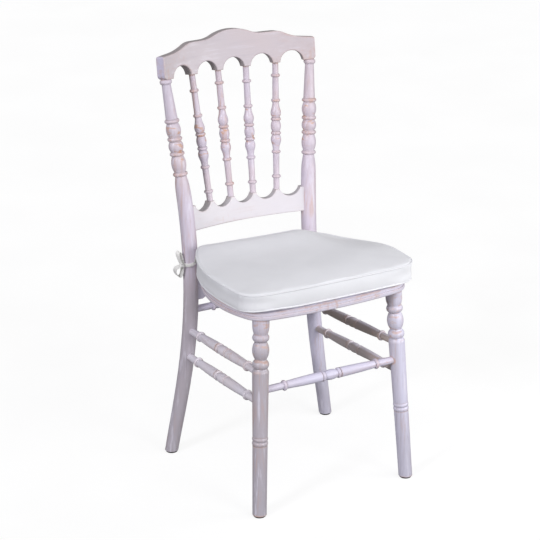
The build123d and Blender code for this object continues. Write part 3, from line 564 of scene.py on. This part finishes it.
def tape(name, points, width_way, width, thickness):
    """A flat woven tape along points."""
    frames = frames_along(points, width_way)
    bm = bmesh.new()
    first = frames[0] @ Matrix.Diagonal((width * mm, thickness * mm, 1, 1))
    bmesh.ops.create_circle(bm, segments=tape_sides, radius=0.5, cap_ends=True, matrix=first)
    edges = list(bm.edges)
    for before, after in zip(frames, frames[1:]):
        grown = bmesh.ops.extrude_edge_only(bm, edges=edges)["geom"]
        verts = [item for item in grown if isinstance(item, bmesh.types.BMVert)]
        edges = [
            item for item in grown
            if isinstance(item, bmesh.types.BMEdge) and all(vert in verts for vert in item.verts)
        ]
        bmesh.ops.transform(bm, matrix=after @ before.inverted(), verts=verts)
    bmesh.ops.holes_fill(bm, edges=edges, sides=0)
    return finish_mesh(bm, name)


def on_side(place, side):
    """A place that is given on the left of the chair in mm, on one side of it in metres."""
    x, y, z = place
    return Vector((-side * x, y, z)) * mm


def knot(name, place, side):
    """A small tight knot: a few turns of tape drawn together."""
    bm = bmesh.new()
    bmesh.ops.create_uvsphere(bm, u_segments=32, v_segments=20, radius=1.0)
    wide, deep, tall = knot_size
    for vertex in bm.verts:
        x, y, z = vertex.co
        turn = atan2(y, x)
        fold = 1.0
        for depth, upward, around in knot_folds:
            fold += depth * sin(upward * z + around * turn)
        vertex.co = (x * wide * fold, y * deep * fold, z * tall)
    turned = Matrix.Rotation(side * knot_tilt, 4, "Y") @ Matrix.Scale(mm, 4)
    bmesh.ops.transform(bm, matrix=Matrix.Translation(place) @ turned, verts=bm.verts)
    return finish_mesh(bm, name)


def round_post(side):
    """The way across a tape that lies flat round the post on one side, at any point."""
    post = on_side(post_place, side)

    def across(point, along):
        away = point - post
        return Vector((away.x, away.y, tape_lean * away.z)).cross(along)

    return across


def in_bow(side):
    """The way across a tape in the bow on one side, the same at every point."""
    return lambda point, along: Vector(bow_across[side])


for side_name, side in sides:
    post_way = round_post(side)
    bow_way = in_bow(side)
    raised_route = bow_upper_route if side < 0 else bow_back_route
    made_knot = knot(f"tie_knot_{side_name}_tape", on_side(knot_place, side), side)
    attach(made_knot, "frame")
    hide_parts(f"tie_knot_{side_name}")
    made_knot.data.materials.append(tape_cotton)
    for name, route, width_way, width, thickness, lay, node in (
        ("tie_front", tie_front_route, post_way, tie_width, tie_thickness, "taut", "tie"),
        ("tie_back", tie_back_route, post_way, tie_width, tie_thickness, "taut", None),
        ("tie_bow_upper", raised_route, bow_way, bow_width, bow_thickness, "loose", "tie_bow"),
        ("tie_bow_lower", bow_lower_route, bow_way, bow_width, bow_thickness, "loose", None),
    ):
        points = route_points(route, side)
        strand = tape(f"{name}_{side_name}_tape", points, width_way, width, thickness)
        strand.data.materials.append(tape_cotton)
        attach(strand, "frame")
        if node:
            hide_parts(f"{node}_{side_name}")

# Making the cushion


def ramp(value, start, end):
    """A smooth step from 0 at the start to 1 at the end."""
    share = min(max((value - start) / (end - start), 0.0), 1.0)
    return share * share * (3 - 2 * share)


def near(x, y, place, reach):
    """How close a place in plan is to another, from 0 at a reach away to 1."""
    return ramp(hypot(x - place[0], y - place[1]), reach, 0.0)


def rise(x, y):
    """How far the cushion's top rises at a place in plan, in mm: its right rear corner is drawn down."""
    droop = droop_depth * ramp(y, *droop_in_y) * ramp(x, *droop_in_x)
    ear = ear_rise * near(x, y, ear_place, ear_reach)
    edge = edge_rise * ramp(y, *edge_in_y) * ramp(x, *edge_in_x)
    ridge = ridge_rise * ramp(y, *ridge_front_in_y) * ramp(y, *ridge_back_in_y) * ramp(x, *ridge_in_x)
    return ear + edge + ridge - droop


def settle(thing):
    """Draw the cushion's uneven corners into a mesh."""
    height = cushion_top - cushion_low
    for vertex in thing.data.vertices:
        x, y, z = vertex.co / mm
        share = min(max((z - cushion_low) / height, 0.0), 1.0)
        front_lift = lifted_rise * near(x, y, lifted_place, lifted_reach)
        lift = rise(x, y) * share + front_lift * (1 - share)
        pinch = pinch_below - pinch_lost_above * ramp(share, *pinch_lost_over)
        pull = pinch * near(x, y, ear_place, pinch_reach) + right_pull * ramp(x, *right_pull_in_x)
        vertex.co = Vector((x + pull, y, z + lift)) * mm


def bake(thing):
    """Apply a piece's modifiers to its mesh."""
    graph = bpy.context.evaluated_depsgraph_get()
    mesh = bpy.data.meshes.new_from_object(thing.evaluated_get(graph))
    thing.modifiers.clear()
    thing.data = mesh


def swell(pad):
    """Blow the cover up a little, its underside and its seams held."""
    low_seam, top_seam = (height for _, height, _ in seams)
    start = [vertex.co.copy() for vertex in pad.data.vertices]
    held = pad.vertex_groups.new(name="held")
    for number, place in enumerate(start):
        height = place.z / mm
        if height < low_seam + seam_grip or abs(height - top_seam) < seam_grip:
            held.add([number], 1.0, "REPLACE")
    cloth = pad.modifiers.new("cloth", "CLOTH")
    cloth.settings.quality = 6
    cloth.settings.mass = 0.3
    cloth.settings.use_pressure = True
    cloth.settings.uniform_pressure_force = cloth_pressure
    cloth.settings.vertex_group_mass = held.name
    cloth.settings.effector_weights.gravity = 0.0
    cloth.point_cache.frame_start = 1
    cloth.point_cache.frame_end = cloth_steps
    for number in range(1, cloth_steps + 1):
        scene.frame_set(number)
    bake(pad)
    scene.frame_set(1)
    pad.vertex_groups.clear()
    for vertex, place in zip(pad.data.vertices, start):
        move = vertex.co - place
        if move.length > swell_limit * mm:
            vertex.co = place + move.normalized() * swell_limit * mm


def seam_line(pad, height, proud):
    """Points round the cushion at a height, in order and a little proud of it."""
    bm = bmesh.new()
    bm.from_mesh(pad.data)
    everything = list(bm.verts) + list(bm.edges) + list(bm.faces)
    bmesh.ops.bisect_plane(
        bm, geom=everything, plane_co=(0, 0, height * mm), plane_no=(0, 0, 1),
        clear_inner=True, clear_outer=True,
    )
    middle = Vector((0, seam_middle * mm, height * mm))
    ways = sorted((vertex.co - middle for vertex in bm.verts), key=lambda way: atan2(way.y, way.x))
    line = [middle + way * (1 + proud * mm / way.length) for way in ways[::seam_step]]
    bm.free()
    return line


def welt(name, line):
    """A covered cord sewn into a seam."""
    curve = bpy.data.curves.new(name, "CURVE")
    curve.dimensions = "3D"
    curve.resolution_u = 4
    curve.bevel_depth = welt_radius * mm
    curve.bevel_resolution = 3
    spline = curve.splines.new("NURBS")
    spline.points.add(len(line) - 1)
    for point, place in zip(spline.points, line):
        point.co = (*place, 1)
    spline.use_cyclic_u = True
    spline.order_u = 4
    guide = link("guide", curve)
    made = link(name, bpy.data.meshes.new_from_object(guide))
    bpy.data.objects.remove(guide)
    made.data.shade_smooth()
    return made


bm = bmesh.new()
bm.from_mesh(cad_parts["cushion_foam"].data)
cushion = finish_mesh(bm, "seat_cushion")
remesh = cushion.modifiers.new("remesh", "REMESH")
remesh.mode = "VOXEL"
remesh.voxel_size = voxel * mm
bake(cushion)
swell(cushion)
welts = [welt(f"cushion_welt_{name}", seam_line(cushion, height, proud)) for name, height, proud in seams]
for thing in [cushion] + welts:
    settle(thing)
    thing.data.materials.clear()
    thing.data.materials.append(cushion_cotton)
    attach(thing, "cushion")
cushion.data.shade_smooth()
fullness = cushion.modifiers.new("fullness", "SUBSURF")
fullness.levels = fullness.render_levels = 1
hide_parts("cushion_cover", "cushion_foam")

# Making the floor, the room and the lamps


def white_floor():
    """A pale floor: white to the camera, with the chair's shadow on it."""
    bm = bmesh.new()
    bmesh.ops.create_circle(bm, segments=96, radius=floor_radius, cap_ends=True)
    floor = finish_mesh(bm, "floor")
    material = bpy.data.materials.new("floor")
    material.use_nodes = True
    tree = material.node_tree
    tree.nodes.remove(tree.nodes["Principled BSDF"])
    grain = noise(tree, put(tree, "ShaderNodeTexCoord").outputs["Object"], 3.0)
    tones = [(floor_tone + shift,) * 3 for shift in (-floor_mottle, floor_mottle)]
    colour = between(tree, ranged(tree, grain, 0.3, 0.7), *tones)
    matt = put(tree, "ShaderNodeBsdfDiffuse", {"Color": colour})
    seen = put(tree, "ShaderNodeLightPath").outputs["Is Camera Ray"]
    glow = put(tree, "ShaderNodeEmission", {"Strength": product(tree, seen, floor_glow)})
    both = put(tree, "ShaderNodeAddShader", {0: matt.outputs[0], 1: glow.outputs[0]})
    tree.links.new(both.outputs[0], tree.nodes["Material Output"].inputs["Surface"])
    floor.data.materials.append(material)


def white_room():
    """A white room that is lighter in front of the chair, plain white to the camera."""
    world = bpy.data.worlds.new("room")
    world.use_nodes = True
    tree = world.node_tree
    way = put(tree, "ShaderNodeTexCoord").outputs["Generated"]
    ahead = put(tree, "ShaderNodeVectorMath", {0: way, 1: room_front}, operation="DOT_PRODUCT")
    lit = ranged(tree, ahead.outputs["Value"], *room_span, *room_light)
    seen = put(tree, "ShaderNodeLightPath").outputs["Is Camera Ray"]
    tree.links.new(combine(tree, "MAXIMUM", seen, lit), tree.nodes["Background"].inputs["Strength"])
    tree.nodes["Background"].inputs["Color"].default_value = (1, 1, 1, 1)
    scene.world = world


def lamp(name, kind, way, energy):
    """A lamp whose light comes from one way."""
    made = bpy.data.objects.new(name, bpy.data.lights.new(name, kind))
    made.rotation_euler = Vector(way).to_track_quat("Z", "Y").to_euler()
    made.data.energy = energy
    made.visible_camera = False
    scene.collection.objects.link(made)
    return made


white_floor()
white_room()
soft_lamp = lamp("near_lamp", "AREA", Vector(near_lamp_place) - Vector(near_lamp_aim), near_lamp_power)
soft_lamp.location = near_lamp_place
soft_lamp.data.size = near_lamp_size
for name, way, energy, spread, colour in far_lamps:
    far_lamp = lamp(name, "SUN", way, energy)
    far_lamp.data.angle = spread
    far_lamp.data.color = colour
fill = lamp("back_lamp", "SUN", back_light_way, back_light)
fill.visible_glossy = False
fill.data.use_shadow = False

scene.view_settings.view_transform = "Standard"
